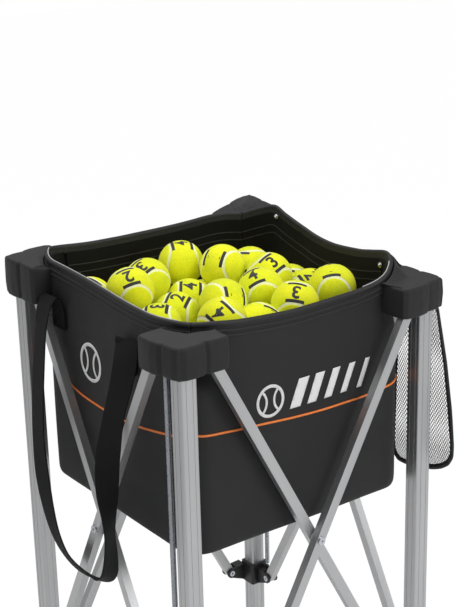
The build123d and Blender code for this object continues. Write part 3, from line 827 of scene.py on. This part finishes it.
# carry strap
strap = {
    "width": 33, "thickness": 2.2,
    # middle of the webbing, then the direction of its width, from the rear end round to the front one
    "points": [
        ((-192.5, 122, 880), (0, 1, 0)), ((-193, 122, 912), (0, 1, 0)), ((-199, 122, 928), (0, 1, 0)),
        ((-211, 119, 930), (0, 1, 0)), ((-224, 112, 917), (0.05, 1, 0)), ((-234, 104, 893), (0.1, 0.99, 0)),
        ((-238, 106, 857), (0.08, 1, 0)), ((-240, 116, 789), (0.03, 1, 0)), ((-241, 121, 722), (0, 1, -0.05)),
        ((-242, 115, 662), (-0.1, 0.94, -0.32)), ((-243, 99, 610), (0.02, 0.86, -0.51)),
        ((-244, 77, 579), (0.17, 0.6, -0.78)), ((-245, 42, 561), (0.41, 0.25, -0.88)),
        ((-246, -2, 560), (0.64, 0, -0.77)), ((-246, -42, 567), (0.85, -0.11, -0.51)),
        ((-246, -66, 582), (0.98, 0.15, -0.1)), ((-245, -74, 606), (0.92, 0.38, 0)),
        ((-244, -75, 645), (0.82, 0.57, 0)),
        ((-243, -74, 678), (0.92, 0.385, 0)), ((-243, -72, 715), (0.986, -0.15, 0)),
        ((-243, -75, 754), (0.813, -0.582, 0)), ((-241, -82, 793), (0.5, -0.866, 0)),
        ((-234, -84, 828), (0.38, -0.925, 0)), ((-223, -84, 860), (0.48, -0.877, 0)),
        ((-212, -80, 888), (0.6, -0.8, 0)), ((-205, -74, 907), (0.5, -0.866, 0)),
        ((-198, -67, 917), (0.35, -0.937, 0)),
        ((-193.5, -62, 906), (0.15, -0.99, 0)), ((-193, -62, 868), (0, -1, 0)),
    ],
}


def strapAt(share):
    stops = strap["points"]
    spots = [(index, spot) for index, spot in enumerate(stops)]
    where = share * (len(stops) - 1)
    middle = Vector([through([(index, spot[0][axis]) for index, spot in spots], where) for axis in range(3)])
    width = Vector([through([(index, spot[1][axis]) for index, spot in spots], where) for axis in range(3)])
    return middle, width.normalized()


def makeStrap():
    def place(across, up):
        middle, width = strapAt(up)
        ahead, behind = strapAt(min(up + 0.004, 1))[0], strapAt(max(up - 0.004, 0))[0]
        way = (ahead - behind).normalized()
        width = (width - way * width.dot(way)).normalized()
        return middle + width * strap["width"] * (across - 0.5)

    length = sum((strapAt((step + 1) / 200)[0] - strapAt(step / 200)[0]).length for step in range(200))
    made = mappedGrid(6, 220, place, (strap["width"] * mm, length * mm))
    piece = finishPiece("carry_strap_webbing", made, webbing, thickness=strap["thickness"], bevel=0.5)
    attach(piece, "stand")
    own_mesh(piece)
    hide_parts("carry_strap")
    print("strap length", round(length))


makeStrap()

# net pocket on the right
pocket = {
    "plane": 232.5, "pitch": 4.4, "thread": 0.8, "hem": 10,
    # outline from the top, down the front edge and round to the rear one: (y, z above the hem line)
    "outline": [(-150, 2), (-192, 2), (-200, -10), (-218, -87), (-229, -151), (-236, -206), (-236, -224),
                (-228, -238), (-214, -248), (-196, -256), (-141, -268), (-124, -268), (-114, -258),
                (-112, -240), (-113, -150), (-118, -60)],
}


def makePocket():
    outline = [Vector((y, hemZ + z)) for y, z in pocket["outline"]]
    middle = sum(outline, Vector((0, 0))) / len(outline)
    for layer, x in enumerate((pocket["plane"], pocket["plane"] + 4.5)):
        made = bmesh.new()
        size = 220
        count = int(2 * size / pocket["pitch"])
        bmesh.ops.create_grid(made, x_segments=count, y_segments=count, size=size)
        bmesh.ops.rotate(made, cent=(0, 0, 0), matrix=Matrix.Rotation(pi / 4, 3, "Z"), verts=made.verts)
        bmesh.ops.scale(made, vec=(0.8, 1.15, 1), verts=made.verts)
        bmesh.ops.translate(made, vec=(middle.x, middle.y, 0), verts=made.verts)
        for index, spot in enumerate(outline):
            following = outline[(index + 1) % len(outline)]
            way = following - spot
            normal = Vector((-way.y, way.x))
            if (middle - spot).dot(normal) > 0:
                normal = -normal
            whole = made.verts[:] + made.edges[:] + made.faces[:]
            bmesh.ops.bisect_plane(made, geom=whole, plane_co=(spot.x, spot.y, 0),
                                   plane_no=(normal.x, normal.y, 0), clear_outer=True)
        bmesh.ops.wireframe(made, faces=made.faces, thickness=pocket["thread"], use_replace=True,
                            use_boundary=True, use_even_offset=False)
        threadArea = sum(face.calc_area() for face in made.faces) / 2 * mm * mm      # of the net while flat
        for vert in made.verts:
            y, z = vert.co.x, vert.co.y
            belly = 1.5 * sin(pi * min(max((z - hemZ + 268) / 268, 0), 1)) * (1 if layer else -1)
            vert.co = Vector((x + belly + vert.co.z, y, z))
        bmesh.ops.recalc_face_normals(made, faces=made.faces)
        piece = finishPiece(f"pocket_net_{layer + 1}", made, netThread, smooth=False)
        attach(piece, "leg_front_right")
        if layer == 0:
            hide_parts("mesh_pocket")

    lengths = [0.0]
    for index, spot in enumerate(outline):
        lengths.append(lengths[-1] + (outline[(index + 1) % len(outline)] - spot).length)

    def centre(along):
        target = along * lengths[-1]
        index = 0
        while index < len(outline) - 1 and lengths[index + 1] < target:
            index += 1
        spot, following = outline[index], outline[(index + 1) % len(outline)]
        part = (target - lengths[index]) / (lengths[index + 1] - lengths[index])
        flat = spot.lerp(following, min(max(part, 0), 1))
        inward = (middle - flat).normalized()
        across = (0, inward.x * pocket["hem"] / 2, inward.y * pocket["hem"] / 2)
        return (pocket["plane"] + 2.2, flat.x, flat.y), (2.9, 0, 0), across

    made = mappedTube(160, 8, centre, (0.8, 0.02), closed=True)
    bmesh.ops.smooth_vert(made, verts=made.verts, factor=0.5,
                          use_axis_x=True, use_axis_y=True, use_axis_z=True)
    hem = finishPiece("pocket_hem", made, binding, levels=1)
    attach(hem, "leg_front_right")


makePocket()
print("pocket made")

# snap studs at the ends of the right rim
stud = {"places": [(0.60, 14), (-0.78, 20)], "radius": 5.2, "height": 3.2}
for index, (share, drop) in enumerate(stud["places"]):
    spot = onBag(1, share, rimHeight(1, share) - drop, -5.2)
    outward = turned((0, 1, 0), 1)
    made = bmesh.new()
    bmesh.ops.create_cone(made, cap_ends=True, segments=6, radius1=stud["radius"],
                          radius2=stud["radius"] * 0.82, depth=stud["height"])
    bmesh.ops.create_uvsphere(made, u_segments=16, v_segments=8, radius=stud["radius"] * 0.45,
                              matrix=Matrix.Translation((0, 0, stud["height"] * 0.5)))
    facing = outward.to_track_quat("Z", "Y").to_matrix().to_4x4()
    bmesh.ops.transform(made, matrix=Matrix.Translation(spot) @ facing, verts=made.verts)
    bmesh.ops.recalc_face_normals(made, faces=made.faces)
    piece = finishPiece(f"snap_stud_{index + 1}", made, zinc, bevel=0.4, smooth=False)
    foldsWithSide(piece, 1)
    if index == 0:
        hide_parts("snap_studs")


# springs
spring = {"out": 8, "along": 27, "low": 342, "high": 903, "radius": 3.4, "wire": 0.55, "turns": 460,
          "share": 100}


def makeSpring(name, corner, low, high, radius, body, node=None):
    turns = spring["turns"] * (high - low) / (spring["high"] - spring["low"])
    flip = 1 if corner == 0 else -1
    x, y = -flip * (legAt + spring["out"]), flip * (spring["along"] - legAt)

    def centre(along):
        angle = 2 * pi * turns * along
        outward = Vector((cos(angle), sin(angle), 0))
        z = low + (high - low) * along
        return Vector((x, y, z)) + outward * radius, outward * spring["wire"], Vector((0, 0, spring["wire"]))

    made = mappedTube(int(turns * 12), 5, centre, (3.0, 0.004))
    piece = finishPiece(name, made, zinc)
    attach(piece, body)
    if node:
        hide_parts(node)


middleZ = (spring["low"] + spring["high"]) / 2
for corner in (0, 2):
    name = corners[corner]
    makeSpring("spring_upper_" + name, corner, middleZ - spring["share"] / 2, spring["high"],
               spring["radius"], cornerBodies[corner], "spring_" + name)
    makeSpring("spring_lower_" + name, corner, spring["low"], middleZ + spring["share"] / 2,
               spring["radius"] - 0.15, "slider_" + name)
print("springs made")


# printed marks on the bag
def shareAt(side, across):
    return across / (bagHalf - (1 - pi / 4) * bag["lowCorner"])


# a flat print laid on one wall: corners in (across, z), cut finely enough to follow the cloth
def printOn(name, side, outline, material, lift=0.35):
    made = bmesh.new()
    for ring in outline:
        verts = [made.verts.new((across, z, 0)) for across, z in ring]
        made.faces.new(verts)
    for axis in (0, 1):
        low = min(vert.co[axis] for vert in made.verts)
        high = max(vert.co[axis] for vert in made.verts)
        step = low + 6
        while step < high:
            normal = (1, 0, 0) if axis == 0 else (0, 1, 0)
            spot = (step, 0, 0) if axis == 0 else (0, step, 0)
            bmesh.ops.bisect_plane(made, geom=made.verts[:] + made.edges[:] + made.faces[:], plane_co=spot,
                                   plane_no=normal)
            step += 6
    for vert in made.verts:
        vert.co = onBag(side, shareAt(side, vert.co.x), vert.co.y, 1.2 + lift)
    outward = turned((0, -1, 0), side)
    for face in made.faces:
        face.normal_update()
        if face.normal.dot(outward) < 0:
            face.normal_flip()
    piece = finishPiece(name, made, material, thickness=-0.25)
    foldsWithSide(piece, side)


def arcBand(x, z, radius, width, start, end, steps=24):
    outer, inner = [], []
    for step in range(steps + 1):
        angle = radians(start + (end - start) * step / steps)
        outer.append((x + (radius + width / 2) * cos(angle), z + (radius + width / 2) * sin(angle)))
        inner.append((x + (radius - width / 2) * cos(angle), z + (radius - width / 2) * sin(angle)))
    return [[outer[step], outer[step + 1], inner[step + 1], inner[step]] for step in range(steps)]


# a ball: its ring and two seam lines
def ballSign(x, z, radius, width):
    rings = arcBand(x, z, radius, width, 0, 360, 48)
    rings += arcBand(x - radius * 1.25, z, radius * 0.95, width * 0.8, -48, 48)
    rings += arcBand(x + radius * 1.25, z, radius * 0.95, width * 0.8, 132, 228)
    return rings


frontSign = {"x": -58, "z": 833, "radius": 21, "line": 4.4, "bars": 5, "barStart": -26, "barPitch": 29.5,
             "barWidth": 18, "slant": 16, "tall": 40}
rings = ballSign(frontSign["x"], frontSign["z"], frontSign["radius"], frontSign["line"])
for bar in range(frontSign["bars"]):
    x0 = frontSign["barStart"] + bar * frontSign["barPitch"]
    wide = frontSign["barWidth"] * (1 - 0.13 * bar)
    z0 = frontSign["z"] - frontSign["tall"] / 2
    z1 = frontSign["z"] + frontSign["tall"] / 2
    slant = frontSign["slant"]
    rings.append([(x0, z0), (x0 + wide, z0), (x0 + wide + slant, z1), (x0 + slant, z1)])
printOn("print_front", 0, rings, whitePrint)

leftSign = {"across": -41, "z": 851, "radius": 26, "line": 5.0}
leftRings = ballSign(leftSign["across"], leftSign["z"], leftSign["radius"], leftSign["line"])
printOn("print_left", 3, leftRings, whitePrint)
print("prints made")

# stage
floorPatch = bmesh.new()
bmesh.ops.create_grid(floorPatch, x_segments=1, y_segments=1, size=9000)
floorFinish, floorTree, floorShader = newFinish("pale_floor", (0.93, 0.93, 0.93), 0.9)
floorGlow = addNode(floorTree, "ShaderNodeEmission", {"Color": (1, 1, 1, 1), "Strength": 1.03})
floorRays = addNode(floorTree, "ShaderNodeLightPath")
floorMix = addNode(floorTree, "ShaderNodeMixShader")
floorShare = combined(floorTree, "MULTIPLY", floorRays.outputs["Is Camera Ray"], 0.94)
floorTree.links.new(floorShare, floorMix.inputs[0])
floorTree.links.new(floorShader.outputs[0], floorMix.inputs[1])
floorTree.links.new(floorGlow.outputs[0], floorMix.inputs[2])
floorTree.links.new(floorMix.outputs[0], floorTree.nodes["Material Output"].inputs["Surface"])
floor = finishPiece("floor", floorPatch, floorFinish)

world = bpy.data.worlds.new("studio")
bpy.context.scene.world = world
world.use_nodes = True
backdrop = world.node_tree.nodes["Background"]
backdrop.inputs["Color"].default_value = (1, 1, 1, 1)
backdrop.inputs["Strength"].default_value = 0.42
behind = addNode(world.node_tree, "ShaderNodeBackground", {"Color": (1, 1, 1, 1), "Strength": 1.0})
rays = addNode(world.node_tree, "ShaderNodeLightPath")
choice = addNode(world.node_tree, "ShaderNodeMixShader")
world.node_tree.links.new(rays.outputs["Is Camera Ray"], choice.inputs[0])
world.node_tree.links.new(backdrop.outputs[0], choice.inputs[1])
world.node_tree.links.new(behind.outputs[0], choice.inputs[2])
world.node_tree.links.new(choice.outputs[0], world.node_tree.nodes["World Output"].inputs["Surface"])


def softLight(name, place, towards, size, power):
    light = bpy.data.lights.new(name, "AREA")
    light.shape = "SQUARE"
    light.size = size
    light.energy = power
    lamp = bpy.data.objects.new(name, light)
    lamp.location = place
    lamp.rotation_euler = (Vector(towards) - Vector(place)).to_track_quat("-Z", "Y").to_euler()
    bpy.context.scene.collection.objects.link(lamp)


softLight("key_light", (0.9, -2.6, 2.4), (0, 0, 0.7), 1.4, 38)
softLight("top_light", (-0.3, 0.4, 3.0), (0, 0, 0.8), 2.0, 34)
bpy.context.scene.view_settings.view_transform = "Standard"

# camera: its heading, its dip and its roll, in degrees
view = {"heading": -35.62, "dip": 18.95, "roll": -1.44, "place": (-1.1401, -1.6104, 1.5831), "lens": 86.77}
heading, dip, roll = radians(view["heading"]), radians(view["dip"]), radians(view["roll"])
look = Vector((-sin(heading) * cos(dip), cos(heading) * cos(dip), -sin(dip)))
right = look.cross(Vector((0, 0, 1))).normalized()
up = right.cross(look)
rolledRight = right * cos(roll) + up * sin(roll)
rolledUp = up * cos(roll) - right * sin(roll)
lens = bpy.data.cameras.new("camera")
lens.lens = view["lens"]
lens.sensor_width = 36
lens.sensor_fit = "AUTO"
camera = bpy.data.objects.new("camera", lens)
camera.matrix_world = Matrix.Translation(view["place"]) @ Matrix(
    (rolledRight, rolledUp, -look)).transposed().to_4x4()
bpy.context.scene.collection.objects.link(camera)
bpy.context.scene.camera = camera
